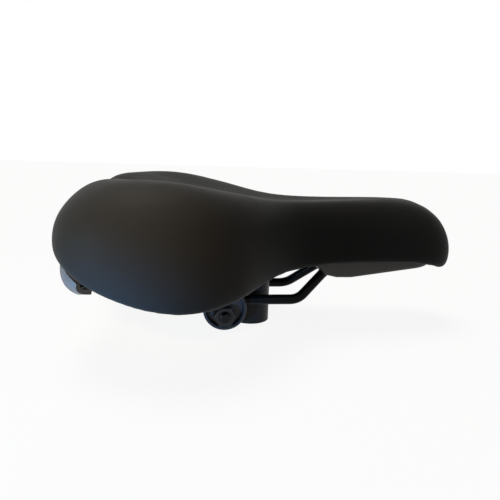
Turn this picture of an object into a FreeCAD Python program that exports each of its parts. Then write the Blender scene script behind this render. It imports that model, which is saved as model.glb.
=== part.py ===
"""Bicycle saddle with a seat-post clamp.

Row frame: +X towards the nose, +Y to the left, +Z up, millimetres. The origin lies on the seat-post
axis at the lower mouth of the clamp strap. The padded top is described in a pad frame, whose origin
is the middle of the two front rail bends, and is then pitched nose down by pad_pitch.
"""
import FreeCAD, Part
import math
import os
import Sketcher
from FreeCAD import Placement, Rotation, Vector

doc = FreeCAD.newDocument("BicycleSaddle")
sheet = doc.addObject("Spreadsheet::Sheet", "Sizes")

SIZES = [
    # seat-post clamp strap
    ("post_radius", 11.1), ("strap_wall", 3.0), ("strap_height", 30.0), ("bolt_reach", 21.0),
    ("bolt_height", 12.5), ("ear_radius", 10.5), ("ear_thick", 3.0), ("ear_slot", 4.0),
    ("boss_radius", 8.5), ("boss_height", 1.5), ("tooth_depth", 0.8), ("tooth_width", 0.8),
    ("tooth_inner_radius", 5.0), ("tooth_count", 20),
    # clamp bolt, washers and nuts
    ("bolt_radius", 4.0), ("bolt_play", 0.25), ("bolt_stub", 2.5), ("bolt_chamfer", 0.8),
    ("washer_radius", 8.0), ("washer_thick", 1.6), ("nut_flats", 13.0), ("nut_thick", 6.5),
    ("nut_chamfer", 0.9), ("thread_play", 0.1),
    # clamp cups
    ("cup_radius", 15.0), ("cup_drop", 4.0), ("cup_gap", 1.6), ("cup_play", 0.3), ("inner_cup_plate", 7.5),
    ("hub_radius", 8.5), ("groove_play", 0.25), ("outer_cup_depth", 8.5),
    ("dish_radius", 12.6), ("dish_depth", 4.0), ("rim_round", 1.0),
    # rails
    ("rail_radius", 3.5), ("rail_half_gauge", 22.0), ("rail_height", 21.0), ("front_bend_x", 31.5),
    ("front_end_x", 78.0), ("nose_bend_x", 55.0), ("nose_half_gauge", 10.0), ("nose_rise", 19.5),
    ("rear_bend_reach", 62.0), ("rear_leg", 28.0), ("rear_spread", 11.2), ("rear_rise", 24.5),
    ("rear_bend_x", "-rear_bend_reach"), ("rear_end_x", "rear_bend_x - rear_leg"),
    ("rail_bend_radius", 14.0), ("socket_play", 0.15), ("socket_end_play", 0.5),
    # pad: reach behind and in front of the rail bends, half width, height of the highest pole, pitch
    ("pad_rear", 163.0), ("pad_front", 115.5), ("pad_half_width", 108.0), ("pad_height", 81.5),
    ("pad_pitch", 4.5),
    # poles of the half outline of the pad, from the rear notch to the nose tip
    ("notch_x", "-0.917 * pad_rear"), ("notch_y", "0.12 * pad_half_width"),
    ("tail_inner_x", "-0.939 * pad_rear"), ("tail_inner_y", "0.306 * pad_half_width"),
    ("tail_x", "-pad_rear"), ("tail_y", "0.579 * pad_half_width"),
    ("lobe_x", "-0.844 * pad_rear"), ("lobe_y", "0.94 * pad_half_width"),
    ("flank_x", "-0.515 * pad_rear"), ("flank_y", "pad_half_width"),
    ("hip_x", "-0.282 * pad_rear"), ("hip_y", "0.801 * pad_half_width"),
    ("waist_x", "-0.129 * pad_rear"), ("waist_y", "0.384 * pad_half_width"),
    ("neck_x", "0.182 * pad_front"), ("neck_y", "0.2685 * pad_half_width"),
    ("horn_x", "0.801 * pad_front"), ("horn_y", "0.287 * pad_half_width"),
    ("tip_x", "pad_front"), ("tip_y", "0.139 * pad_half_width"),
    # heights above the rails: lower edge, shoulder, crest and centre line
    ("edge_rear", "0.38 * pad_height"), ("edge_flank", "0.061 * pad_height"),
    ("edge_waist", "0.27 * pad_height"), ("edge_horn", "0.442 * pad_height"),
    ("edge_tip", "0.35 * pad_height"),
    ("shoulder_rear", "0.626 * pad_height"), ("shoulder_flank", "0.816 * pad_height"),
    ("shoulder_horn", "0.7055 * pad_height"), ("shoulder_tip", "0.601 * pad_height"),
    ("crest_rear", "0.937 * pad_height"), ("crest_flank", "pad_height"),
    ("crest_waist", "0.865 * pad_height"), ("crest_horn", "0.969 * pad_height"),
    ("crest_tip", "0.791 * pad_height"),
    ("centre_rear", "0.865 * pad_height"), ("centre_mid", "0.7975 * pad_height"),
    ("centre_waist", "0.7975 * pad_height"), ("centre_horn", "0.9755 * pad_height"),
    ("centre_tip", "0.908 * pad_height"), ("tip_bulge", "0.472 * pad_height"),
    ("spine_rear_x", "-0.7 * pad_rear"), ("spine_tip_setback", "0.23 * pad_front"),
    # fullness of the pad's side: set in at the rim, swelling below the shoulder, rounding at the shoulder
    ("rim_set", 1.0), ("side_swell", 1.5), ("shoulder_set", 2.0), ("shoulder_lift", 3.0),
    # walls of the pad
    ("cover_thick", 1.5), ("wrap_width", 9.0), ("wrap_round", 1.5), ("layer_gap", 0.3),
    ("foam_top", 24.0), ("base_inset", 7.0), ("base_draft", 1.0), ("base_lift", 4.2), ("base_wall", 3.0),
    # ribs, rail blocks and screw bosses of the base shell
    ("rib_thick", 2.5), ("rib_depth", 9.0), ("rib_reach", 58.0), ("block_cover", 12.0),
    ("block_end_wall", 10.0), ("block_half_width", 8.5), ("block_drop", 7.5), ("boss_outer", 5.0),
    ("block_front_x", "rear_end_x + block_cover"), ("block_rear_x", "rear_end_x - block_end_wall"),
    ("block_bottom", "rail_height + rear_rise - block_drop"),
    # nose bridge: its floor lies below the rail ends, its top below the base shell
    ("bridge_rear_x", 46.0), ("bridge_front_x", 137.0), ("bridge_half_width", 17.5), ("bridge_floor", 1.8),
    ("bridge_heel_x", 61.0), ("bridge_heel_set", 2.0), ("bridge_sole_x", 72.0), ("bridge_fall", 6.0),
    ("bridge_heel_rise", 8.5), ("bridge_headroom", 8.5), ("bridge_lip", 3.1), ("bridge_round", 3.0),
    ("bridge_bottom", "rail_height + nose_rise - rail_radius - bridge_floor"),
    ("bridge_top_rear", "rail_height + centre_waist - foam_top - bridge_headroom"),
    ("bridge_top_front", "bridge_top_rear - bridge_fall"),
    ("bridge_front_bottom", "bridge_top_front - bridge_lip"),
    ("bridge_screw_rear_x", 64.0), ("bridge_screw_front_x", 116.0), ("counterbore", 3.0),
    # rear bumper: a guard under the rear edge and two ears under the rail blocks
    ("bumper_wall", 3.5), ("bumper_inset", 3.5), ("bumper_bulge", 2.0), ("bumper_drop", 2.0),
    ("bumper_hang", 1.0), ("bumper_end_bottom", 14.0), ("bumper_share", 0.31), ("bumper_tuck", 19.0),
    ("bumper_ear_thick", 3.2), ("bumper_ear_half", 6.0), ("bumper_ear_y", 36.0), ("bumper_ear_set", 1.0),
    ("bumper_ear_lap", 9.5), ("bumper_screw_lap", 4.5), ("seat_gap", 0.3),
    ("bumper_bottom", "-bumper_hang"),
    ("bumper_ear_rear_x", "front_bend_x - pad_rear + bumper_tuck + bumper_ear_set"),
    ("bumper_ear_front_x", "block_rear_x + bumper_ear_lap"),
    ("bumper_screw_x", "block_rear_x + bumper_screw_lap"),
    # screws and staples
    ("screw_radius", 2.0), ("screw_head_radius", 4.0), ("screw_head_height", 2.4), ("screw_bite", 9.0),
    ("screw_play", 0.15), ("drive_radius", 1.6), ("drive_depth", 1.4),
    ("staple_count", 14), ("staple_width", 7.0), ("staple_wire", 0.8), ("staple_leg", 4.5),
    ("staple_sunk", 0.5), ("staple_share", 0.022),
]
for row, (alias, value) in enumerate(SIZES, start=1):
    sheet.set("A%d" % row, alias)
    sheet.set("B%d" % row, "=%s" % value)
    sheet.setAlias("B%d" % row, alias)
doc.recompute()


def size(expression):
    """The value of an expression of sheet aliases, such as 'bolt_radius + bolt_play'."""
    return float(sheet.evalExpression(bound(expression)))


def bound(expression):
    """The expression with each alias written as a cell of the sheet."""
    words = []
    word = ""
    for letter in expression + " ":
        if letter.isalnum() or letter in "_.":
            word += letter
            continue
        words.append("Sizes." + word if word in ALIASES else word)
        words.append(letter)
        word = ""
    return "".join(words).strip()


ALIASES = {alias for alias, _ in SIZES}
nodes = {}


def keep(label, piece):
    """Give a finished sub-part its label and list it for export."""
    piece.Label = label
    nodes[label] = piece
    return piece


def feature(name, shape, placement=Placement()):
    piece = doc.addObject("Part::Feature", name)
    piece.Shape = shape
    piece.Placement = placement
    return piece


# ---------------------------------------------------------------- sketches and primitives
def new_body(name):
    return doc.addObject("PartDesign::Body", name)


def new_sketch(body, name, plane, offset="0"):
    """A sketch on an origin plane of its body, moved along the plane's normal."""
    sketch = body.newObject("Sketcher::SketchObject", name)
    support = [item for item in body.Origin.OriginFeatures if item.Role == plane][0]
    sketch.AttachmentSupport = (support, [""])
    sketch.MapMode = "FlatFace"
    sketch.setExpression("AttachmentOffset.Base.z", bound(offset))
    return sketch


def bind(sketch, kind, *where, to):
    """Add a dimension to a sketch and bind it to an expression."""
    index = sketch.addConstraint(Sketcher.Constraint(kind, *where, size(to)))
    sketch.setExpression("Constraints[%d]" % index, bound(to))


def add_circle(sketch, across, up, radius):
    circle = Part.Circle(Vector(size(across), size(up), 0), Vector(0, 0, 1), size(radius))
    index = sketch.addGeometry(circle, False)
    bind(sketch, "Radius", index, to=radius)
    bind(sketch, "DistanceX", -1, 1, index, 3, to=across)
    bind(sketch, "DistanceY", -1, 1, index, 3, to=up)


def add_outline(sketch, corners):
    """A closed outline of straight lines, each corner bound to two expressions."""
    points = [Vector(size(across), size(up), 0) for across, up in corners]
    first = sketch.GeometryCount
    for index, point in enumerate(points):
        following = points[(index + 1) % len(points)]
        sketch.addGeometry(Part.LineSegment(point, following), False)
    for index, (across, up) in enumerate(corners):
        line = first + index
        after = first + (index + 1) % len(corners)
        sketch.addConstraint(Sketcher.Constraint("Coincident", line, 2, after, 1))
        bind(sketch, "DistanceX", -1, 1, line, 1, to=across)
        bind(sketch, "DistanceY", -1, 1, line, 1, to=up)


def add_rectangle(sketch, left, bottom, right, top):
    add_outline(sketch, [(left, bottom), (right, bottom), (right, top), (left, top)])


def pad(body, sketch, length, side="One side", backwards=False):
    """Pad or extend a body by a sketch."""
    step = body.newObject("PartDesign::Pad", sketch.Name + "Pad")
    step.Profile = sketch
    step.SideType = side
    step.Reversed = backwards
    step.setExpression("Length", bound(length))
    doc.recompute()
    return step


def pocket(body, sketch, length, side="One side", backwards=False):
    """Cut a sketch out of a body, and make sure that it removes something."""
    before = body.Shape.Volume
    step = body.newObject("PartDesign::Pocket", sketch.Name + "Pocket")
    step.Profile = sketch
    step.SideType = side
    step.Reversed = backwards
    step.setExpression("Length", bound(length))
    doc.recompute()
    if body.Shape.Volume > before - 1e-3:
        raise RuntimeError("the pocket %s cuts nothing" % step.Name)
    return step


def around(body, step, axis_sketch, count):
    """Repeat a step round the normal of its sketch."""
    pattern = body.newObject("PartDesign::PolarPattern", step.Name + "Ring")
    pattern.Originals = [step]
    pattern.Axis = (axis_sketch, ["N_Axis"])
    pattern.Angle = 360
    pattern.setExpression("Occurrences", bound(count))
    body.Tip = pattern
    doc.recompute()
    return pattern


def cylinder(name, radius, height, base, axis=Vector(0, 0, 1)):
    """A bound cylinder whose base centre is three expressions."""
    solid = doc.addObject("Part::Cylinder", name)
    solid.Placement = Placement(Vector(), Rotation(Vector(0, 0, 1), axis))
    solid.setExpression("Radius", bound(radius))
    solid.setExpression("Height", bound(height))
    for letter, expression in zip("xyz", base):
        solid.setExpression("Placement.Base." + letter, bound(expression))
    return solid


def block(name, low, high):
    """A bound box between two corners, each three expressions."""
    solid = doc.addObject("Part::Box", name)
    for side, letter, start, end in zip(("Length", "Width", "Height"), "xyz", low, high):
        solid.setExpression(side, bound("(%s) - (%s)" % (end, start)))
        solid.setExpression("Placement.Base." + letter, bound(start))
    return solid


def cut(name, base, tools):
    """Take several tools away from a base."""
    tool = tools[0]
    if len(tools) > 1:
        tool = doc.addObject("Part::MultiFuse", name + "Tools")
        tool.Shapes = tools
    result = doc.addObject("Part::Cut", name)
    result.Base = base
    result.Tool = tool
    return result


def fuse(name, parts):
    result = doc.addObject("Part::MultiFuse", name)
    result.Shapes = parts
    return result


def common(name, parts):
    result = doc.addObject("Part::MultiCommon", name)
    result.Shapes = parts
    return result


def mirrored(name, source):
    """The left-hand twin of a right-hand piece."""
    twin = doc.addObject("Part::Mirroring", name)
    twin.Source = source
    twin.Normal = Vector(0, 1, 0)
    return twin


# ---------------------------------------------------------------- seat-post clamp
EAR_FACE = "ear_slot / 2 + ear_thick"
BOSS_FACE = EAR_FACE + " + boss_height"
CUP_CENTRE_HEIGHT = "rail_height - cup_drop"
HUB_FACE = BOSS_FACE + " + cup_play"
INNER_CUP_FACE = "rail_half_gauge - cup_gap / 2"
OUTER_CUP_FACE = "rail_half_gauge + cup_gap / 2"
OUTER_CUP_RIM = OUTER_CUP_FACE + " + outer_cup_depth"
WASHER_FACE = OUTER_CUP_RIM + " - dish_depth"
NUT_FACE = WASHER_FACE + " + washer_thick"
BOLT_END = NUT_FACE + " + nut_thick + bolt_stub"
RIGHT = Vector(0, -1, 0)


def centred_sketch(body, name, offset):
    """A sketch across the bolt whose own origin lies on the bolt axis."""
    sketch = new_sketch(body, name, "XZ_Plane", offset)
    sketch.setExpression("AttachmentOffset.Base.x", bound("-bolt_reach"))
    sketch.setExpression("AttachmentOffset.Base.y", bound("bolt_height"))
    return sketch


def serrate(body, name, face, inwards):
    """Cut a ring of radial slots, tooth_depth deep, into a flat face across the bolt."""
    sketch = centred_sketch(body, name, face)
    add_rectangle(sketch, "tooth_inner_radius", "-tooth_width / 2", "boss_radius + 1", "tooth_width / 2")
    step = pocket(body, sketch, "tooth_depth", backwards=inwards)
    around(body, step, sketch, "tooth_count")


def build_strap():
    """The pressed strap: a split ring round the post and two ears with serrated bosses."""
    body = new_body("ClampStrap")
    ring = new_sketch(body, "Ring", "XY_Plane")
    add_circle(ring, "0", "0", "post_radius + strap_wall")
    pad(body, ring, "strap_height")
    web = new_sketch(body, "EarWeb", "XZ_Plane")
    add_rectangle(web, "-bolt_reach", "bolt_height - ear_radius", "0", "bolt_height + ear_radius")
    pad(body, web, "2 * (%s)" % EAR_FACE, side="Symmetric")
    eye = new_sketch(body, "EarEye", "XZ_Plane")
    add_circle(eye, "-bolt_reach", "bolt_height", "ear_radius")
    pad(body, eye, "2 * (%s)" % EAR_FACE, side="Symmetric")
    boss = new_sketch(body, "EarBoss", "XZ_Plane")
    add_circle(boss, "-bolt_reach", "bolt_height", "boss_radius")
    pad(body, boss, "2 * (%s)" % BOSS_FACE, side="Symmetric")
    bore = new_sketch(body, "PostBore", "XY_Plane", "-1")
    add_circle(bore, "0", "0", "post_radius")
    pocket(body, bore, "strap_height + 2", backwards=True)
    slot = new_sketch(body, "EarSlot", "XY_Plane", "-1")
    add_rectangle(slot, "-bolt_reach - ear_radius - 1", "-ear_slot / 2", "0", "ear_slot / 2")
    pocket(body, slot, "strap_height + 2", backwards=True)
    hole = new_sketch(body, "EarHole", "XZ_Plane")
    add_circle(hole, "-bolt_reach", "bolt_height", "bolt_radius + bolt_play")
    pocket(body, hole, "2 * (%s) + 2" % BOSS_FACE, side="Symmetric")
    serrate(body, "TeethRight", BOSS_FACE, False)
    serrate(body, "TeethLeft", "-(%s)" % BOSS_FACE, True)
    keep("clamp_strap", body)


def groove(body, name):
    """The half-round seat of the rail."""
    sketch = new_sketch(body, name, "YZ_Plane")
    add_circle(sketch, "-rail_half_gauge", "rail_height", "rail_radius + groove_play")
    pocket(body, sketch, "2 * (bolt_reach + cup_radius + 1)", side="Symmetric")


def build_inner_cup():
    """The cup between an ear and a rail: a round plate, a cone and a serrated hub."""
    body = new_body("InnerCupRight")
    plate = new_sketch(body, "InnerPlate", "XZ_Plane", INNER_CUP_FACE)
    add_circle(plate, "-bolt_reach", CUP_CENTRE_HEIGHT, "cup_radius")
    pad(body, plate, "inner_cup_plate", backwards=True)
    hub = new_sketch(body, "InnerHub", "XZ_Plane", HUB_FACE)
    add_circle(hub, "-bolt_reach", "bolt_height", "hub_radius")
    pad(body, hub, "%s - (%s)" % (INNER_CUP_FACE, HUB_FACE))
    groove(body, "InnerGroove")
    hole = new_sketch(body, "InnerHole", "XZ_Plane", "0")
    add_circle(hole, "-bolt_reach", "bolt_height", "bolt_radius + bolt_play")
    pocket(body, hole, INNER_CUP_FACE + " + 1", backwards=True)
    serrate(body, "InnerTeeth", HUB_FACE, True)
    keep("inner_cup_right", body)
    keep("inner_cup_left", mirrored("InnerCupLeft", body))


def build_outer_cup():
    """The dished outer cup, which carries the rail in its inner face and the nut in its dish."""
    body = new_body("OuterCupRight")
    plate = new_sketch(body, "OuterPlate", "XZ_Plane", OUTER_CUP_FACE)
    add_circle(plate, "-bolt_reach", CUP_CENTRE_HEIGHT, "cup_radius")
    pad(body, plate, "outer_cup_depth")
    dish = new_sketch(body, "OuterDish", "XZ_Plane", OUTER_CUP_RIM)
    add_circle(dish, "-bolt_reach", CUP_CENTRE_HEIGHT, "dish_radius")
    pocket(body, dish, "dish_depth")
    groove(body, "OuterGroove")
    hole = new_sketch(body, "OuterHole", "XZ_Plane", "0")
    add_circle(hole, "-bolt_reach", "bolt_height", "bolt_radius + bolt_play")
    pocket(body, hole, OUTER_CUP_RIM + " + 1", backwards=True)
    rims = []
    for index, edge in enumerate(body.Shape.Edges, start=1):
        round_edge = isinstance(edge.Curve, Part.Circle) and edge.BoundBox.YLength < 1e-3
        if round_edge and abs(edge.BoundBox.YMin + size(OUTER_CUP_RIM)) < 1e-3:
            rims.append("Edge%d" % index)
    rounded = body.Tip
    rounding = body.newObject("PartDesign::Fillet", "OuterRim")
    rounding.Base = (rounded, rims)
    rounding.setExpression("Radius", bound("rim_round"))
    doc.recompute()
    keep("outer_cup_right", body)
    keep("outer_cup_left", mirrored("OuterCupLeft", body))


def build_bolt():
    """The clamp bolt, threaded at both ends, with a washer and a nut on each side."""
    shank = cylinder("BoltShank", "bolt_radius", "2 * (%s)" % BOLT_END,
                     ("-bolt_reach", BOLT_END, "bolt_height"), RIGHT)
    doc.recompute()
    bolt = doc.addObject("Part::Chamfer", "ClampBolt")
    bolt.Base = shank
    ends = [index for index, edge in enumerate(shank.Shape.Edges, start=1) if edge.BoundBox.YLength < 1e-6]
    bolt.Edges = [(index, size("bolt_chamfer"), size("bolt_chamfer")) for index in ends]
    keep("clamp_bolt", bolt)

    start = "-(%s)" % WASHER_FACE
    disc = cylinder("WasherDisc", "washer_radius", "washer_thick",
                    ("-bolt_reach", start, "bolt_height"), RIGHT)
    bore = cylinder("WasherBore", "bolt_radius + bolt_play", "washer_thick",
                    ("-bolt_reach", start, "bolt_height"), RIGHT)
    washer = keep("washer_right", cut("WasherRight", disc, [bore]))
    keep("washer_left", mirrored("WasherLeft", washer))

    start = "-(%s)" % NUT_FACE
    prism = doc.addObject("Part::Prism", "NutPrism")
    prism.Polygon = 6
    prism.Placement = Placement(Vector(), Rotation(Vector(0, 0, 1), RIGHT))
    prism.setExpression("Circumradius", bound("nut_flats / 3 ^ 0.5"))
    prism.setExpression("Height", bound("nut_thick"))
    for letter, expression in zip("xyz", ("-bolt_reach", start, "bolt_height")):
        prism.setExpression("Placement.Base." + letter, bound(expression))
    lens = doc.addObject("Part::Cone", "NutCone")
    lens.Placement = Placement(Vector(), Rotation(Vector(0, 0, 1), RIGHT))
    lens.setExpression("Radius1", bound("nut_flats / 3 ^ 0.5 + 1.7 * (nut_thick - nut_chamfer)"))
    lens.setExpression("Radius2", bound("nut_flats / 3 ^ 0.5 - 1.7 * nut_chamfer"))
    lens.setExpression("Height", bound("nut_thick"))
    for letter, expression in zip("xyz", ("-bolt_reach", start, "bolt_height")):
        lens.setExpression("Placement.Base." + letter, bound(expression))
    bore = cylinder("NutBore", "bolt_radius + thread_play", "nut_thick",
                    ("-bolt_reach", start, "bolt_height"), RIGHT)
    nut = keep("nut_right", cut("NutRight", common("NutBlank", [prism, lens]), [bore]))
    keep("nut_left", mirrored("NutLeft", nut))


# ---------------------------------------------------------------- rails
def rail_points():
    """Corners of the right rail's centre line, from the nose end to the rear end."""
    gauge = size("rail_half_gauge")
    level = size("rail_height")
    nose = level + size("nose_rise")
    return [
        Vector(size("front_end_x"), -size("nose_half_gauge"), nose),
        Vector(size("nose_bend_x"), -size("nose_half_gauge"), nose),
        Vector(size("front_bend_x"), -gauge, level),
        Vector(size("rear_bend_x"), -gauge, level),
        Vector(size("rear_end_x"), -gauge - size("rear_spread"), level + size("rear_rise")),
    ]


def bent_rod(points, bend_radius, radius):
    """A round rod along straight runs joined by tangent arcs."""
    edges = []
    start = points[0]
    for before, corner, after in zip(points, points[1:], points[2:]):
        back = (before - corner).normalize()
        ahead = (after - corner).normalize()
        half = back.getAngle(ahead) / 2
        reach = bend_radius / math.tan(half)
        middle = (back + ahead).normalize()
        entry = corner + back * reach
        leave = corner + ahead * reach
        top = corner + middle * (bend_radius / math.sin(half) - bend_radius)
        edges.append(Part.LineSegment(start, entry).toShape())
        edges.append(Part.Arc(entry, top, leave).toShape())
        start = leave
    edges.append(Part.LineSegment(start, points[-1]).toShape())
    section = Part.Wire([Part.Circle(points[0], points[1] - points[0], radius).toShape()])
    return Part.Wire(edges).makePipeShell([section], True, False)


def build_rails():
    points = rail_points()
    rail = feature("RailRight", bent_rod(points, size("rail_bend_radius"), size("rail_radius")))
    keep("rail_right", rail)
    keep("rail_left", mirrored("RailLeft", rail))
    longer = [points[0] + (points[0] - points[1]).normalize() * size("socket_end_play")]
    longer += points[1:-1]
    longer += [points[-1] + (points[-1] - points[-2]).normalize() * size("socket_end_play")]
    room = bent_rod(longer, size("rail_bend_radius"), size("rail_radius + socket_play"))
    room_right = feature("RailRoomRight", room)
    return [room_right, mirrored("RailRoomLeft", room_right)]


# ---------------------------------------------------------------- padded top
DEGREE = 3
# share of the cover's rows, from its free edge, that is wrapped under the rim and has no foam
FOAM_START = 0.16


def middle(first, second, share=0.5):
    return first * (1 - share) + second * share


class Pad:
    """Outline and heights of the right half of the padded top, station by station, in the pad frame."""

    def __init__(self):
        names = ["tail_inner", "tail", "lobe", "flank", "hip", "waist", "neck", "horn"]
        self.outline = [(size("notch_x"), 0.0), (size("notch_x"), size("notch_y"))]
        self.outline += [(size(name + "_x"), size(name + "_y")) for name in names]
        self.outline += [(size("tip_x"), size("tip_y")), (size("tip_x"), 0.0)]
        self.edge = self.along("edge_rear", "edge_rear", "edge_flank", "edge_waist", "edge_horn", "edge_tip")
        self.shoulder = self.along("shoulder_rear", "shoulder_rear", "shoulder_flank", "shoulder_horn",
                                   "shoulder_horn", "shoulder_tip")
        self.crest = self.along("centre_rear", "crest_rear", "crest_flank", "crest_waist", "crest_horn",
                                "crest_tip")
        rear, mid, waist = size("centre_rear"), size("centre_mid"), size("centre_waist")
        horn, tip = size("centre_horn"), size("centre_tip")
        self.centre = [rear, rear, rear, rear, middle(rear, mid), mid, middle(mid, waist), waist,
                       middle(waist, horn), horn, tip, tip]
        start = size("spine_rear_x")
        end = size("tip_x - spine_tip_setback")
        shares = [0, 0, 0.01, 0.03, 0.07, 0.18, 0.32, 0.47, 0.74, 0.96, 1, 1]
        self.spine = [middle(start, end, share) for share in shares]

    def along(self, notch, rear, flank, waist, horn, tip):
        """Heights at the twelve stations from the heights at six named places."""
        notch, rear, flank = size(notch), size(rear), size(flank)
        waist, horn, tip = size(waist), size(horn), size(tip)
        return [notch, notch, middle(notch, rear), rear, middle(rear, flank), flank, middle(flank, waist),
                waist, middle(waist, horn), horn, tip, tip]

    def pole(self, station, share, inset, height):
        """A pole at a share of the way from the outline to the spine, plus an inset."""
        across_x, across_y = self.outline[station]
        step_x = self.spine[station] - across_x
        step_y = -across_y
        length = math.hypot(step_x, step_y)
        along_x, along_y = step_x / length, step_y / length
        if station in (0, 1):
            along_x, along_y = 1.0, 0.0
        if station in (10, 11):
            along_x, along_y = -1.0, 0.0
        flat_x = across_x + along_x * inset + step_x * share
        flat_y = across_y + along_y * inset + step_y * share
        return Vector(flat_x, -flat_y, height)

    def net(self, rows):
        """Poles of the right half. Each row is (share, inset, heights), from the rim inwards."""
        net = [[self.pole(station, share, inset, heights[station]) for share, inset, heights in rows]
               for station in range(len(self.outline))]
        return self.join_halves(net, rows[-1][0] == 1)

    def join_halves(self, net, to_spine=True):
        """Make both halves meet smoothly on the middle plane, at the two ends and along the spine."""
        last = len(net) - 1
        for row in range(len(net[0])):
            for end, beside in ((0, 1), (last, last - 1)):
                net[end][row] = Vector(net[beside][row].x, 0, net[beside][row].z)
        for station in range(len(net) if to_spine else 0):
            spine = net[station][-1]
            before = net[max(station - 1, 0)][-1]
            after = net[min(station + 1, last)][-1]
            run = after.x - before.x
            slope = (after.z - before.z) / run if run > 1 else 0.0
            beside = net[station][-2]
            net[station][-1] = Vector(spine.x, 0, spine.z)
            net[station][-2] = Vector(beside.x, beside.y, spine.z + slope * (beside.x - spine.x))
        return net

    def skin_net(self):
        """The outer face of the cover, from the wrapped edge under the rim to the spine."""
        edge, shoulder = self.edge, self.shoulder
        belly = [middle(low, high, 0.45) for low, high in zip(edge, shoulder)]
        belly[-2:] = [size("tip_bulge")] * 2
        wrap = size("wrap_round")
        rows = [(0, size("wrap_width"), [height + wrap for height in edge]),
                (0, size("rim_set"), [height - wrap for height in edge]),
                (0, -size("side_swell"), belly),
                (0, size("shoulder_set"), [height + size("shoulder_lift") for height in shoulder]),
                (0.36, 0, self.crest),
                (0.74, 0, self.centre),
                (1, 0, self.centre)]
        return self.net(rows)

    def base_net(self):
        """The upper face of the base shell, from its lower edge to the spine."""
        inset, lift, foam = size("base_inset"), size("base_lift"), size("foam_top")
        drafted = size("base_inset + base_draft")
        low = [height + lift for height in self.edge]
        high = [height - foam for height in self.crest]
        belly = [middle(bottom, top, 0.55) for bottom, top in zip(low, high)]
        shoulder = [middle(bottom, top, 0.85) for bottom, top in zip(low, high)]
        centre = [height - foam for height in self.centre]
        rows = [(0, inset, low),
                (0, inset, [middle(bottom, top, 0.2) for bottom, top in zip(low, high)]),
                (0.03, drafted, belly),
                (0.12, drafted, shoulder),
                (0.42, inset / 2, high),
                (0.74, 0, centre),
                (1, 0, centre)]
        return self.net(rows)


def spline_surface(net):
    """A clamped uniform surface over a net of poles: cubic, or ruled where a row has two poles."""
    knots = []
    counts = []
    degrees = []
    for poles in (len(net), len(net[0])):
        degree = min(DEGREE, poles - 1)
        spans = poles - degree
        knots.append([float(index) / spans for index in range(spans + 1)])
        counts.append([degree + 1] + [1] * (spans - 1) + [degree + 1])
        degrees.append(degree)
    surface = Part.BSplineSurface()
    surface.buildFromPolesMultsKnots(net, counts[0], counts[1], knots[0], knots[1], False, False,
                                     degrees[0], degrees[1])
    return surface


def abscissa(index, count):
    """The place where a pole of a clamped uniform cubic row has most hold."""
    spans = count - DEGREE
    knots = [0.0] * DEGREE + [float(step) / spans for step in range(spans + 1)] + [1.0] * DEGREE
    return sum(knots[index + 1:index + 1 + DEGREE]) / DEGREE


def inward(pad_shape, net, distance):
    """The net moved inwards by a distance along the surface's own normals."""
    surface = spline_surface(net)
    margin = 0.02
    moved = []
    for station, poles in enumerate(net):
        line = []
        for row, pole in enumerate(poles):
            across = min(max(abscissa(station, len(net)), margin), 1 - margin)
            up = min(abscissa(row, len(poles)), 1 - margin)
            normal = surface.normal(across, up)
            line.append(pole - normal * distance)
        moved.append(line)
    return pad_shape.join_halves(moved)


def mirror_net(net):
    return [[Vector(pole.x, -pole.y, pole.z) for pole in line] for line in net]


def pad_placement():
    """The pad frame's place: over the front rail bends, pitched nose down."""
    return Placement(Vector(size("front_bend_x"), 0, size("rail_height")),
                     Rotation(Vector(0, 1, 0), size("pad_pitch")))


def closed_solid(faces):
    """Sew faces into one closed solid of positive volume."""
    shell = Part.Shell(faces)
    shell.sewShape()
    solid = Part.Solid(shell if shell.ShapeType == "Shell" else shell.Shells[0])
    if solid.Volume < 0:
        solid.reverse()
    return solid


def strip(first, second):
    """The ruled surface between two rows of poles that run side by side."""
    return spline_surface([[one, other] for one, other in zip(first, second)])


def spline_shell(outer, inner, outer_start=0.0, reach=1.0):
    """The solid between two nets, closed along the rim by a ruled strip on each half.

    With a reach below 1, the nets have two rims and stop at that share of their stations, and are
    closed along the second rim and across that end too.
    """
    rims = (0, -1) if reach < 1 else (0,)
    faces = []
    for flip in (False, True):
        front = spline_surface(mirror_net(outer) if flip else outer)
        back = spline_surface(mirror_net(inner) if flip else inner)
        front.segment(0.0, 1.0, outer_start, 1.0)
        surfaces = [front, back]
        for rim in rims:
            rows = [[line[rim] for line in surface.getPoles()] for surface in (front, back)]
            surfaces.append(strip(*rows))
        if reach < 1:
            for surface in surfaces:
                surface.segment(0.0, reach, 0.0, 1.0)
            surfaces.append(strip(front.getPoles()[-1], back.getPoles()[-1]))
        faces += [surface.toShape() for surface in surfaces]
    return closed_solid(faces)


def room_below(net, floor):
    """The solid under a net, with upright sides, down to a level of the pad frame."""
    faces = []
    lower_edges = []
    for flip in (False, True):
        poles = mirror_net(net) if flip else net
        rim = [line[0] for line in poles]
        side = strip(rim, [Vector(pole.x, pole.y, floor) for pole in rim])
        faces += [spline_surface(poles).toShape(), side.toShape()]
        lower_edges.append(side.vIso(1.0).toShape())
    faces.append(Part.Face(Part.Wire(lower_edges)))
    return closed_solid(faces)


def build_pad(pad_shape):
    """Cover, foam pad and the bare base shell, nested with a small gap between them."""
    gap = size("layer_gap")
    skin = pad_shape.skin_net()
    lining = inward(pad_shape, skin, size("cover_thick"))
    foam = inward(pad_shape, skin, size("cover_thick") + gap)
    base = pad_shape.base_net()
    seat = inward(pad_shape, base, -gap)
    under = inward(pad_shape, base, size("base_wall"))
    place = pad_placement()
    keep("cover", feature("Cover", spline_shell(skin, lining), place))
    keep("foam_pad", feature("FoamPad", spline_shell(foam, seat, FOAM_START), place))
    return feature("BareBase", spline_shell(base, under), place)


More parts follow.
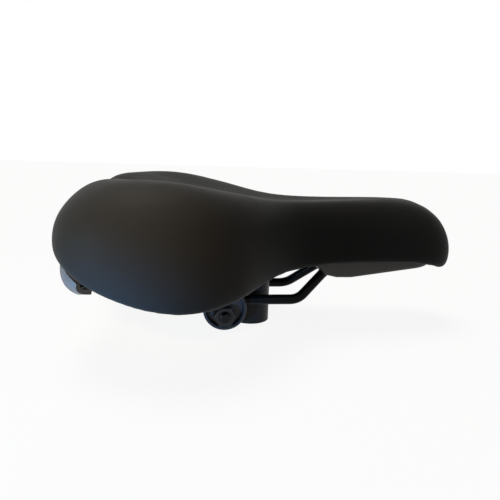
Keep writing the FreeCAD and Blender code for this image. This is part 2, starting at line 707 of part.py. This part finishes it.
# ---------------------------------------------------------------- base shell, bridge, bumper, fasteners
BRIDGE_SLOPE = "(bridge_top_front - bridge_top_rear) / (bridge_front_x - bridge_rear_x)"
SOLE_SLOPE = "(bridge_front_bottom - bridge_bottom) / (bridge_front_x - bridge_sole_x)"
EAR_TOP = "block_bottom - seat_gap"
EAR_BOTTOM = EAR_TOP + " - bumper_ear_thick"
# boxes that another solid trims run this far past it
BEYOND = "150"
# shares of the guard's height, from its top, at which its two middle rows of poles lie
BUMPER_SHARES = (0.35, 0.75)


def bridge_top(place):
    return "bridge_top_rear + (%s - bridge_rear_x) * %s" % (place, BRIDGE_SLOPE)


def bridge_seat(place):
    """Level of a screw head's seat in the sole of the bridge."""
    return "bridge_bottom + max(%s - bridge_sole_x; 0) * %s + counterbore" % (place, SOLE_SLOPE)


def build_base(bare_base, saddle_pad, rail_room, screw_holes):
    """The moulded base shell: skin, ribs, rail blocks and screw bosses, with their holes."""
    plates = []
    for side in ("-1", "1"):
        middle_line = "%s * (nose_half_gauge + rib_thick)" % side
        plates.append(block("LongRib", ("block_rear_x", middle_line + " - rib_thick / 2", "0"),
                            ("front_bend_x", middle_line + " + rib_thick / 2", BEYOND)))
    for place, reach in (("rear_bend_x", "rib_reach"), ("-bolt_reach", "rib_reach"),
                         ("front_bend_x / 2", "nose_half_gauge + rib_thick")):
        plates.append(block("CrossRib", (place + " - rib_thick / 2", "-(%s)" % reach, "0"),
                            (place + " + rib_thick / 2", reach, BEYOND)))
    pad_frame = pad_placement()
    wall_middle = inward(saddle_pad, saddle_pad.base_net(), size("base_wall / 2"))
    room = room_below(wall_middle, -size("rail_height"))
    ceiling = feature("RoomUnderShell", room, pad_frame)
    drop = Placement(Vector(0, 0, -size("base_wall / 2 + rib_depth")), Rotation())
    ribs = cut("Ribs", common("RibPlates", [fuse("Plates", plates), ceiling]),
               [feature("RoomUnderRibs", room, pad_frame.multiply(drop))])
    blocks = []
    for side in ("-1", "1"):
        low = "%s * (rail_half_gauge + rear_spread)" % side
        blocks.append(block("RailBlock", ("block_rear_x", low + " - block_half_width", "block_bottom"),
                            ("block_front_x", low + " + block_half_width", BEYOND)))
    for place in ("bridge_screw_rear_x", "bridge_screw_front_x"):
        foot = bridge_top("(%s - boss_outer)" % place) + " + seat_gap"
        blocks.append(cylinder("ScrewBoss", "boss_outer", BEYOND, (place, "0", foot)))
    anchors = common("Anchors", [fuse("AnchorStock", blocks), feature("RoomForAnchors", room, pad_frame)])
    whole = fuse("WholeBase", [bare_base, ribs, anchors])
    keep("base_shell", cut("BaseShell", whole, rail_room + screw_holes))


def build_bridge(rail_room, screw_holes):
    """The block under the nose that takes both rail ends."""
    body = new_body("BridgeBlank")
    side = new_sketch(body, "BridgeSide", "XZ_Plane")
    add_outline(side, [("bridge_rear_x", "bridge_top_rear"),
                       ("bridge_rear_x", "bridge_bottom + bridge_heel_rise"),
                       ("(bridge_rear_x + bridge_heel_x) / 2 - bridge_heel_set",
                        "bridge_bottom + bridge_heel_rise / 4"),
                       ("bridge_heel_x", "bridge_bottom"),
                       ("bridge_sole_x", "bridge_bottom"),
                       ("bridge_front_x", "bridge_front_bottom"),
                       ("bridge_front_x", "bridge_top_front")])
    pad(body, side, "2 * bridge_half_width + 2", side="Symmetric")
    bar = block("BridgeBar", ("bridge_rear_x", "-bridge_half_width", "0"),
                ("bridge_front_x - bridge_half_width", "bridge_half_width", BEYOND))
    round_end = cylinder("BridgeEnd", "bridge_half_width", BEYOND,
                         ("bridge_front_x - bridge_half_width", "0", "0"))
    blank = common("BridgeBlock", [body, fuse("BridgePlan", [bar, round_end])])
    doc.recompute()
    rounded = doc.addObject("Part::Fillet", "BridgeRounded")
    rounded.Base = blank
    # the rounding runs along the sole and fits in the thin front lip
    radius = size("min(bridge_round; 0.95 * bridge_lip)")
    edges = []
    for index, edge in enumerate(blank.Shape.Edges, start=1):
        centre = edge.CenterOfMass
        if edge.BoundBox.XLength > 1e-3 and centre.z < size(bridge_top(centre.x)) - 1e-3:
            edges.append((index, radius, radius))
    rounded.Edges = edges
    keep("nose_bridge", cut("NoseBridge", rounded, rail_room + screw_holes))


def build_bumper(saddle_pad, screw_holes):
    """The moulded guard below the raised rear edge, with two ears under the rail blocks."""
    inset, tuck, wall = size("bumper_inset"), size("bumper_tuck"), size("bumper_wall")
    bulge = size("bumper_bulge")
    top = [height - size("bumper_drop") for height in saddle_pad.edge]
    bottom = [size("bumper_bottom")] * 4 + [size("bumper_end_bottom")] * (len(top) - 4)
    upper = [middle(high, low, BUMPER_SHARES[0]) for high, low in zip(top, bottom)]
    lower = [middle(high, low, BUMPER_SHARES[1]) for high, low in zip(top, bottom)]
    outer = saddle_pad.net([(0, inset + bulge, top), (0, inset, upper), (0, inset + 2 * bulge, lower),
                            (0, tuck, bottom)])
    inner = saddle_pad.net([(0, inset + bulge + wall, top), (0, inset + wall, upper),
                            (0, inset + 2 * bulge + wall, [height + wall / 2 for height in lower]),
                            (0, tuck + wall / 4, [height + wall for height in bottom])])
    curved = spline_shell(outer, inner, reach=size("bumper_share"))
    guard = feature("BumperGuard", curved, pad_placement())
    ears = []
    for side in ("-1", "1"):
        line = "%s * bumper_ear_y" % side
        ears.append(block("BumperEar", ("bumper_ear_rear_x", line + " - bumper_ear_half", EAR_BOTTOM),
                          ("bumper_ear_front_x", line + " + bumper_ear_half", EAR_TOP)))
    keep("rear_bumper", cut("RearBumper", fuse("BumperBlank", [guard] + ears), screw_holes))


def pan_screw(name, x, y, seat, length):
    """A pan-head screw that points up, its head's upper face at the seat."""
    shank = cylinder(name + "Shank", "screw_radius", length, (x, y, seat))
    foot = (x, y, seat + " - screw_head_height")
    head = cylinder(name + "Head", "screw_head_radius", "screw_head_height", foot)
    drive = cylinder(name + "Drive", "drive_radius", "drive_depth", foot)
    return cut(name, fuse(name + "Blank", [shank, head]), [drive])


def screw_room(name, x, y, seat, length):
    """The hole for a screw, with a counterbore below its seat."""
    shank = cylinder(name + "Hole", "screw_radius + screw_play", length, (x, y, seat))
    recess = cylinder(name + "Recess", "screw_head_radius + 2 * screw_play", BEYOND,
                      (x, y, seat + " - " + BEYOND))
    return fuse(name + "Room", [shank, recess])


def build_screws():
    """Screws of the nose bridge and of the rear bumper, with the holes that take them."""
    rooms = {"bridge": [], "bumper": []}
    screws = {"bridge": [], "bumper": []}
    for place in ("bridge_screw_rear_x", "bridge_screw_front_x"):
        seat = bridge_seat(place)
        length = "%s + seat_gap + screw_bite - (%s)" % (bridge_top(place), seat)
        screws["bridge"].append(pan_screw("BridgeScrew", place, "0", seat, length))
        rooms["bridge"].append(screw_room("BridgeScrew", place, "0", seat, length + " + seat_gap"))
    for side in ("-1", "1"):
        line = "%s * bumper_ear_y" % side
        length = "bumper_ear_thick + seat_gap + screw_bite"
        place = ("BumperScrew", "bumper_screw_x", line, EAR_BOTTOM)
        screws["bumper"].append(pan_screw(*place, length))
        rooms["bumper"].append(screw_room(*place, length + " + seat_gap"))
    for kind, parts in screws.items():
        group = doc.addObject("Part::Compound", kind.capitalize() + "Screws")
        group.Links = parts
        keep(kind + "_screws", group)
    return rooms


def build_staples(saddle_pad):
    """The wire staples that hold the wrapped edge of the cover to the rim of the base."""
    surface = spline_surface(saddle_pad.skin_net())
    wire, width, leg = size("staple_wire"), size("staple_width"), size("staple_leg")
    count = int(size("staple_count"))
    crown = Part.makeBox(width, wire, wire, Vector(-width / 2, -wire / 2, -wire))
    legs = []
    for side in (-1, 1):
        corner = Vector(side * (width - wire) / 2 - wire / 2, -wire / 2, -wire)
        legs.append(Part.makeBox(wire, wire, leg + wire, corner))
    staple = crown.fuse(legs).removeSplitter()
    staple.translate(Vector(0, 0, size("staple_sunk")))
    solids = []
    for step in range(count):
        across = (step + 0.5) / count
        place = surface.value(across, size("staple_share"))
        along, _ = surface.tangent(across, size("staple_share"))
        inwards = -surface.normal(across, size("staple_share"))
        right = Placement(place, Rotation(along, Vector(), inwards, "XZY")).toMatrix()
        flip = Placement().toMatrix()
        flip.scale(1, -1, 1)
        for mirror_step in (Placement().toMatrix(), flip):
            solids.append(staple.transformed(mirror_step.multiply(right)))
    keep("cover_staples", feature("CoverStaples", Part.makeCompound(solids), pad_placement()))


build_strap()
build_inner_cup()
build_outer_cup()
build_bolt()
rail_room = build_rails()
saddle_pad = Pad()
bare_base = build_pad(saddle_pad)
screw_rooms = build_screws()
build_base(bare_base, saddle_pad, rail_room, screw_rooms["bridge"] + screw_rooms["bumper"])
build_bridge(rail_room, screw_rooms["bridge"])
build_bumper(saddle_pad, screw_rooms["bumper"])
build_staples(saddle_pad)
doc.recompute()

faults = []
for item in doc.Objects:
    if "Invalid" in item.State or "Error" in item.State:
        faults.append("%s is %s" % (item.Name, item.State))
for label, piece in nodes.items():
    if piece.Shape.isNull() or not piece.Shape.isValid():
        faults.append("the shape of %s is not valid" % label)
if faults:
    raise RuntimeError("; ".join(faults))
os.makedirs("parts", exist_ok=True)
for label, piece in nodes.items():
    piece.Shape.exportStep("parts/%s.step" % label)
print("%d sub-parts written" % len(nodes))
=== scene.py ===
"""A bicycle saddle dressed over its CAD frame.

The cover is remade as one soft closed form, the clamp bolt gets its threads, and every other piece is
the CAD node itself with a procedural finish, its edges softened where SOFT_EDGES names it.
"""

import math

import bpy
from mathutils import Matrix, Vector


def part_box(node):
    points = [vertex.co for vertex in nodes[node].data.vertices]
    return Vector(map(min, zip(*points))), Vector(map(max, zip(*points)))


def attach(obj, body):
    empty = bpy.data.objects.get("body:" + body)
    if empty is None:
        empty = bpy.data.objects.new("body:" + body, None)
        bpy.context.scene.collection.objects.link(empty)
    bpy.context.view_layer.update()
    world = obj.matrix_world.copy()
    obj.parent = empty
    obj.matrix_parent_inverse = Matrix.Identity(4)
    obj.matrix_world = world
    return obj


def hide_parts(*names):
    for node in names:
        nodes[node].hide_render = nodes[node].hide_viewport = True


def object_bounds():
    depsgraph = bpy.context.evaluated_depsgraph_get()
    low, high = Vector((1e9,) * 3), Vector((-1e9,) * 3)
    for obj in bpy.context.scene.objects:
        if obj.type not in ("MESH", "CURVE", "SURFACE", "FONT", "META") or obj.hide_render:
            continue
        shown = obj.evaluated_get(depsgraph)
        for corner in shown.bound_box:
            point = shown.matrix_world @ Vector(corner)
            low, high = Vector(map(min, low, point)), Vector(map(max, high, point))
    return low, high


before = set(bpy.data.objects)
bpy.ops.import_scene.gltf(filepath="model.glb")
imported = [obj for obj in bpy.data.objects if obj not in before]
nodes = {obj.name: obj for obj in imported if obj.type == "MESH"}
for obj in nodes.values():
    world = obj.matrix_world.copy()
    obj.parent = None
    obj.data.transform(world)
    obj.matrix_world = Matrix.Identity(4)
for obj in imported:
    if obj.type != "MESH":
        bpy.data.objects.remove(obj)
cad_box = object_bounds()
MM = 0.001


# ---------------------------------------------------------------- materials
# most of a noise lies between these two values
TEXTURE_LOW = 0.3
TEXTURE_HIGH = 0.7
# depth that a bump texture stands for, in metres
GRAIN_DEPTH = 0.12 * MM
ORANGE_PEEL_DEPTH = 0.1 * MM
TOOL_MARK_DEPTH = 0.05 * MM


def new_material(name, color, roughness, metallic=0.0, specular=0.5, coat=0.0, coat_roughness=0.1):
    """A principled material with constants on its own sockets. Returns it and its shader."""
    material = bpy.data.materials.new(name)
    material.use_nodes = True
    shader = material.node_tree.nodes["Principled BSDF"]
    shader.inputs["Base Color"].default_value = (*color, 1.0)
    shader.inputs["Roughness"].default_value = roughness
    shader.inputs["Metallic"].default_value = metallic
    shader.inputs["Specular IOR Level"].default_value = specular
    shader.inputs["Coat Weight"].default_value = coat
    shader.inputs["Coat Roughness"].default_value = coat_roughness
    return material, shader


def noise(material, scale, detail=3.0):
    """A noise in object coordinates, with scale in cells per metre."""
    tree = material.node_tree
    where = tree.nodes.new("ShaderNodeTexCoord")
    texture = tree.nodes.new("ShaderNodeTexNoise")
    texture.inputs["Scale"].default_value = scale
    texture.inputs["Detail"].default_value = detail
    tree.links.new(where.outputs["Object"], texture.inputs["Vector"])
    return texture.outputs["Fac"]


def grain(material, scale, softness):
    """Fine cells in object coordinates, like the embossed grain of vinyl or moulded plastic."""
    tree = material.node_tree
    where = tree.nodes.new("ShaderNodeTexCoord")
    cells = tree.nodes.new("ShaderNodeTexVoronoi")
    cells.feature = "SMOOTH_F1"
    cells.inputs["Scale"].default_value = scale
    cells.inputs["Smoothness"].default_value = softness
    tree.links.new(where.outputs["Object"], cells.inputs["Vector"])
    return cells.outputs["Distance"]


def bump(material, shader, height, strength, distance):
    """Relief from a height texture, by shading alone."""
    tree = material.node_tree
    bumper = tree.nodes.new("ShaderNodeBump")
    bumper.inputs["Strength"].default_value = strength
    bumper.inputs["Distance"].default_value = distance
    tree.links.new(height, bumper.inputs["Height"])
    tree.links.new(bumper.outputs["Normal"], shader.inputs["Normal"])


def vary(material, shader, socket, fac, low, high):
    """A socket that runs between two numbers with a texture."""
    tree = material.node_tree
    ramp = tree.nodes.new("ShaderNodeMapRange")
    ramp.inputs["From Min"].default_value = TEXTURE_LOW
    ramp.inputs["From Max"].default_value = TEXTURE_HIGH
    ramp.inputs["To Min"].default_value = low
    ramp.inputs["To Max"].default_value = high
    tree.links.new(fac, ramp.inputs["Value"])
    tree.links.new(ramp.outputs["Result"], shader.inputs[socket])


def vinyl():
    """Black vinyl with an embossed grain and almost no shine."""
    material, shader = new_material("black_vinyl", (0.02, 0.0196, 0.0188), 0.5, specular=0.03)
    bump(material, shader, grain(material, 1400, 0.6), 0.10, GRAIN_DEPTH)
    vary(material, shader, "Roughness", noise(material, 60), 0.47, 0.54)
    return material


def moulded(name, color, roughness):
    """Injection-moulded plastic with a fine spark-eroded texture."""
    material, shader = new_material(name, color, roughness, specular=0.4)
    bump(material, shader, noise(material, 2200, 2.0), 0.18, GRAIN_DEPTH)
    vary(material, shader, "Roughness", noise(material, 90), roughness - 0.05, roughness + 0.07)
    return material


def painted(name, color, roughness, specular):
    """Black paint over metal, with a faint orange peel."""
    material, shader = new_material(name, color, roughness, specular=specular)
    bump(material, shader, noise(material, 450, 1.0), 0.06, ORANGE_PEEL_DEPTH)
    return material


def steel(name, color, roughness):
    """Bare or blackened steel with faint tool marks."""
    material, shader = new_material(name, color, roughness, metallic=1.0)
    bump(material, shader, noise(material, 900), 0.05, TOOL_MARK_DEPTH)
    vary(material, shader, "Roughness", noise(material, 240), roughness - 0.08, roughness + 0.1)
    return material


# ---------------------------------------------------------------- pieces
def paint(piece, material):
    piece.data.materials.clear()
    piece.data.materials.append(material)


def add_modifier(piece, name, kind, **settings):
    modifier = piece.modifiers.new(name, kind)
    for key, value in settings.items():
        setattr(modifier, key, value)
    return modifier


def final_mesh(piece):
    """The piece's mesh with its modifiers applied, which are then taken off."""
    graph = bpy.context.evaluated_depsgraph_get()
    mesh = bpy.data.meshes.new_from_object(piece.evaluated_get(graph))
    piece.modifiers.clear()
    piece.data = mesh
    return mesh


def new_piece(name, mesh):
    piece = bpy.data.objects.new(name, mesh)
    bpy.context.scene.collection.objects.link(piece)
    return piece


def smooth(mesh):
    mesh.polygons.foreach_set("use_smooth", [True] * len(mesh.polygons))
    mesh.update()


SOFT_EDGES = [("clamp_strap", 0.35 * MM), ("rear_bumper", 0.5 * MM)]
for side in ("right", "left"):
    SOFT_EDGES += [("nut_" + side, 0.15 * MM), ("washer_" + side, 0.15 * MM)]
    SOFT_EDGES.append(("inner_cup_" + side, 0.3 * MM))


def soften_edges(node, width, segments=2):
    """Round the sharp edges of a CAD node, so that they catch the light."""
    piece = nodes[node]
    add_modifier(piece, "Weld", "WELD", merge_threshold=0.002 * MM)
    add_modifier(piece, "Flatten", "DECIMATE", decimate_type="DISSOLVE", angle_limit=math.radians(0.5))
    add_modifier(piece, "Soften", "BEVEL", width=width, segments=segments, limit_method="ANGLE",
                 angle_limit=math.radians(35), use_clamp_overlap=True)
    add_modifier(piece, "Normals", "WEIGHTED_NORMAL", keep_sharp=False)


COVER_VOXEL = 1.5 * MM
COVER_SMOOTHING = 24
COVER_FULLNESS = 0.9 * MM
# stuffing moved about on the upper face: lift, then middle and reach along X, then the same along |Y|
SCULPT = [
    ("rear_valley", -7.0 * MM, -105 * MM, 50 * MM, 0 * MM, 50 * MM),
    ("crests", 1.6 * MM, -65 * MM, 45 * MM, 72 * MM, 32 * MM),
]
SCULPT_FROM = 60 * MM
SCULPT_OVER = 15 * MM


def fade(distance):
    """1 at no distance, 0 at a distance of 1 or more, smooth between."""
    return 0.5 + 0.5 * math.cos(math.pi * min(1.0, abs(distance)))


def sculpted(point):
    """The point of the cover after its stuffing is moved, on the upper face only."""
    share = min(1.0, max(0.0, (point.z - SCULPT_FROM) / SCULPT_OVER))
    rise = 0.0
    for _, lift, middle_x, reach_x, middle_y, reach_y in SCULPT:
        rise += lift * fade((point.x - middle_x) / reach_x) * fade((abs(point.y) - middle_y) / reach_y)
    return Vector((point.x, point.y, point.z + rise * share))


def make_cover():
    """The stuffed cover: the CAD cover and foam as one closed form, remeshed evenly and smoothed."""
    parts = []
    for node in ("cover", "foam_pad"):
        part = new_piece("cover_source", nodes[node].data.copy())
        parts.append(part)
    with bpy.context.temp_override(active_object=parts[0], selected_editable_objects=parts):
        bpy.ops.object.join()
    cover = parts[0]
    cover.name = "cover_skin"
    add_modifier(cover, "Even", "REMESH", mode="VOXEL", voxel_size=COVER_VOXEL, use_smooth_shade=True)
    add_modifier(cover, "Relax", "SMOOTH", factor=0.5, iterations=COVER_SMOOTHING)
    add_modifier(cover, "Fill", "DISPLACE", strength=COVER_FULLNESS, mid_level=0.0)
    mesh = final_mesh(cover)
    for vertex in mesh.vertices:
        vertex.co = sculpted(vertex.co)
    smooth(mesh)
    paint(cover, vinyl())
    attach(cover, "saddle")
    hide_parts("cover", "foam_pad")


THREAD_PITCH = 1.25 * MM
THREAD_DEPTH = 0.65 * MM
THREAD_STEPS = 48
ROWS_PER_PITCH = 8
PLAIN_ROW = 4
THREAD_LENGTH = 12 * MM
BOLT_CHAMFER = 0.9 * MM
CHAMFER_SLOPE = 0.8


def bolt_radius_at(along, turn, radius, half):
    """Radius of the bolt at a distance from its middle, at a share of a turn."""
    from_end = half - abs(along)
    chamfered = max(0.0, BOLT_CHAMFER - from_end)
    if from_end > THREAD_LENGTH:
        return radius
    phase = (along / THREAD_PITCH - turn) % 1.0
    valley = 1 - abs(2 * phase - 1)
    runout = min(1.0, (THREAD_LENGTH - from_end) / THREAD_PITCH)
    return radius - THREAD_DEPTH * valley * runout - CHAMFER_SLOPE * chamfered


def bolt_rows(half):
    """Distances of the rows of points from the bolt's middle: close on the threads, wide on the shank."""
    step = THREAD_PITCH / ROWS_PER_PITCH
    rows = [-half]
    while rows[-1] + step < half:
        threaded = half - abs(rows[-1]) < THREAD_LENGTH + step
        rows.append(rows[-1] + (step if threaded else PLAIN_ROW * step))
    rows[-1] = half
    return rows


def make_bolt():
    """The clamp bolt, with rolled threads at both ends."""
    low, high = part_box("clamp_bolt")
    centre = (low + high) / 2
    radius = (high.z - low.z) / 2
    half = (high.y - low.y) / 2
    rows = bolt_rows(half)
    points = []
    faces = []
    for along in rows:
        for index in range(THREAD_STEPS):
            turn = index / THREAD_STEPS
            reach = bolt_radius_at(along, turn, radius, half)
            angle = turn * math.tau
            points.append(centre + Vector((reach * math.cos(angle), along, reach * math.sin(angle))))
    for row in range(len(rows) - 1):
        here = row * THREAD_STEPS
        above = here + THREAD_STEPS
        for index in range(THREAD_STEPS):
            after = (index + 1) % THREAD_STEPS
            faces.append((here + index, above + index, above + after, here + after))
    faces.append(list(range(THREAD_STEPS)))
    last = (len(rows) - 1) * THREAD_STEPS
    faces.append([last + index for index in reversed(range(THREAD_STEPS))])
    mesh = bpy.data.meshes.new("threaded_bolt")
    mesh.from_pydata(points, [], faces)
    mesh.polygons.foreach_set("use_smooth", [len(face) == 4 for face in faces])
    mesh.update()
    bolt = new_piece("threaded_bolt", mesh)
    paint(bolt, steel("bolt_steel", (0.014, 0.015, 0.017), 0.3))
    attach(bolt, "cups")
    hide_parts("clamp_bolt")


def dress_cad_nodes():
    """Finishes for the CAD nodes that are shown as they are; the rear guard's grey colour is a painted
    reflection.
    """
    rail_paint = painted("rail_enamel", (0.004, 0.004, 0.004), 0.22, 0.06)
    clamp_paint = painted("clamp_paint", (0.008, 0.008, 0.0083), 0.42, 0.15)
    cup_paint = painted("cup_paint", (0.012, 0.0125, 0.0135), 0.34, 0.25)
    dark_steel = steel("dark_steel", (0.025, 0.027, 0.031), 0.33)
    staple_steel = steel("staple_steel", (0.12, 0.12, 0.12), 0.4)
    shell_plastic = moulded("shell_plastic", (0.012, 0.012, 0.012), 0.55)
    bridge_plastic = moulded("bridge_plastic", (0.022, 0.019, 0.017), 0.5)
    # painted reflection: the guard's black plastic gets a lightened, cool grey base colour that stands for
    # the pale floor and blue window mirrored in it
    guard_plastic_painted_reflection = moulded("guard_plastic_painted_reflection", (0.085, 0.086, 0.088), 0.5)
    for side in ("right", "left"):
        paint(nodes["rail_" + side], rail_paint)
        for node in ("inner_cup_", "outer_cup_"):
            paint(nodes[node + side], cup_paint)
        for node in ("washer_", "nut_"):
            paint(nodes[node + side], dark_steel)
    paint(nodes["clamp_strap"], clamp_paint)
    paint(nodes["base_shell"], shell_plastic)
    paint(nodes["nose_bridge"], bridge_plastic)
    paint(nodes["rear_bumper"], guard_plastic_painted_reflection)
    for node in ("bridge_screws", "bumper_screws"):
        paint(nodes[node], dark_steel)
    paint(nodes["cover_staples"], staple_steel)


# ---------------------------------------------------------------- stage, lamps and camera
# what the floor throws back at the object, what it shows to the camera, and how much of that is glow
FLOOR_BOUNCE = 0.3
FLOOR_WHITE = 0.95
FLOOR_GLOW = 0.9
FLOOR_GAP = 0.2 * MM
FLOOR_REACH = 12
ROOM_LEVEL = 0.12


def seen_directly(tree):
    """1 for rays from the camera and for those in mirrors and glass, 0 for light that bounces on."""
    path = tree.nodes.new("ShaderNodeLightPath")
    seen = path.outputs["Is Camera Ray"]
    for ray in ("Is Glossy Ray", "Is Transmission Ray"):
        either = tree.nodes.new("ShaderNodeMath")
        either.operation = "MAXIMUM"
        tree.links.new(seen, either.inputs[0])
        tree.links.new(path.outputs[ray], either.inputs[1])
        seen = either.outputs["Value"]
    return seen


def span(tree, fac, low, high):
    """A number that runs from low to high as the factor runs from 0 to 1."""
    node = tree.nodes.new("ShaderNodeMapRange")
    node.inputs["To Min"].default_value = low
    node.inputs["To Max"].default_value = high
    tree.links.new(fac, node.inputs["Value"])
    return node.outputs["Result"]


def blend(tree, fac, first, second, outlet):
    """Mix two shaders by a factor and lead the mix to an outlet."""
    mixer = tree.nodes.new("ShaderNodeMixShader")
    tree.links.new(fac, mixer.inputs["Fac"])
    tree.links.new(first, mixer.inputs[1])
    tree.links.new(second, mixer.inputs[2])
    tree.links.new(mixer.outputs["Shader"], outlet)


def floor_white():
    """A floor that is white to the camera, keeps the object's shadow and throws little light back up."""
    material, shader = new_material("floor_white", (0.9, 0.9, 0.9), 0.95, specular=0.0)
    tree = material.node_tree
    seen = seen_directly(tree)
    tree.links.new(span(tree, seen, FLOOR_BOUNCE, FLOOR_WHITE), shader.inputs["Base Color"])
    glow = tree.nodes.new("ShaderNodeEmission")
    blend(tree, span(tree, seen, 0.0, FLOOR_GLOW), shader.outputs["BSDF"], glow.outputs["Emission"],
          tree.nodes["Material Output"].inputs["Surface"])
    return material


def make_stage():
    """A pale floor under the lowest point."""
    low, high = cad_box
    reach = FLOOR_REACH * (high - low).length
    level = low.z - FLOOR_GAP
    mesh = bpy.data.meshes.new("floor")
    sides = [(-1, -1), (1, -1), (1, 1), (-1, 1)]
    corners = [(across * reach, along * reach, level) for across, along in sides]
    mesh.from_pydata(corners, [], [(0, 1, 2, 3)])
    floor = new_piece("floor", mesh)
    paint(floor, floor_white())


def lamp(name, kind, place, aim, power, color, **settings):
    """A lamp at a place, turned to its aim. Spots tint what they light and leave no mirror image."""
    data = bpy.data.lights.new(name, kind)
    data.energy = power
    data.color = color
    for key, value in settings.items():
        setattr(data, key, value)
    holder = bpy.data.objects.new(name, data)
    holder.visible_glossy = kind != "SPOT"
    holder.location = place
    holder.rotation_euler = (Vector(aim) - Vector(place)).to_track_quat("-Z", "Y").to_euler()
    bpy.context.scene.collection.objects.link(holder)


def make_room():
    """White all round to the camera, dim to everything else."""
    world = bpy.data.worlds.new("studio")
    world.use_nodes = True
    tree = world.node_tree
    background = tree.nodes["Background"]
    background.inputs["Color"].default_value = (1.0, 1.0, 1.0, 1.0)
    tree.links.new(span(tree, seen_directly(tree), ROOM_LEVEL, 1.0), background.inputs["Strength"])
    bpy.context.scene.world = world


def make_lamps():
    """A soft key from above and behind, a cool window on the left, and two faint spots on the near lobe."""
    low, high = cad_box
    middle = (low + high) / 2
    lobe = Vector((low.x / 2, low.y / 2, high.z / 2))
    lamp("key", "SUN", middle + Vector((-0.2, 0.2, 1.0)), middle, 1.9, (1.0, 0.97, 0.92),
         angle=math.radians(30))
    lamp("window", "AREA", middle + Vector((-0.5, -0.28, 0.0)), middle, 1.7, (0.68, 0.9, 1.0),
         shape="DISK", size=0.2)
    lamp("warm_spot", "SPOT", lobe + Vector((-0.16, -0.66, 0.41)), lobe + Vector((-0.011, -0.015, 0.008)),
         46.0, (1.0, 0.76, 0.5), spot_size=math.radians(8), spot_blend=1.0, shadow_soft_size=0.05)
    lamp("cool_spot", "SPOT", lobe + Vector((-0.36, -0.56, -0.03)), lobe + Vector((-0.011, -0.015, -0.026)),
         96.0, (0.13, 0.45, 1.0), spot_size=math.radians(8), spot_blend=1.0, shadow_soft_size=0.03)


CAMERA_PLACE = Vector((-44, -333.5, 121.7)) * MM
CAMERA_TURN = 6.6
CAMERA_DOWN = 8.9
CAMERA_ROLL = 1.77
CAMERA_LENS = 33.33
CAMERA_SENSOR = 36.0
CAMERA_SHIFT = (0.010, -0.046)


def make_camera():
    """The viewpoint of the photograph's side view, with the saddle in the middle of the frame."""
    data = bpy.data.cameras.new("camera")
    data.sensor_width = CAMERA_SENSOR
    data.lens = CAMERA_LENS
    data.shift_x, data.shift_y = CAMERA_SHIFT
    data.clip_start = 0.01
    data.clip_end = 100.0
    camera = bpy.data.objects.new("camera", data)
    camera.location = CAMERA_PLACE
    level = Matrix.Rotation(math.radians(-CAMERA_TURN), 3, "Z")
    tipped = level @ Matrix.Rotation(math.radians(90 - CAMERA_DOWN), 3, "X")
    rolled = tipped @ Matrix.Rotation(math.radians(CAMERA_ROLL), 3, "Z")
    camera.rotation_euler = rolled.to_euler()
    bpy.context.scene.collection.objects.link(camera)
    bpy.context.scene.camera = camera


dress_cad_nodes()
make_cover()
make_bolt()
for node, width in SOFT_EDGES:
    soften_edges(node, width)
make_stage()
make_room()
make_lamps()
make_camera()
bpy.context.scene.view_settings.view_transform = "Standard"
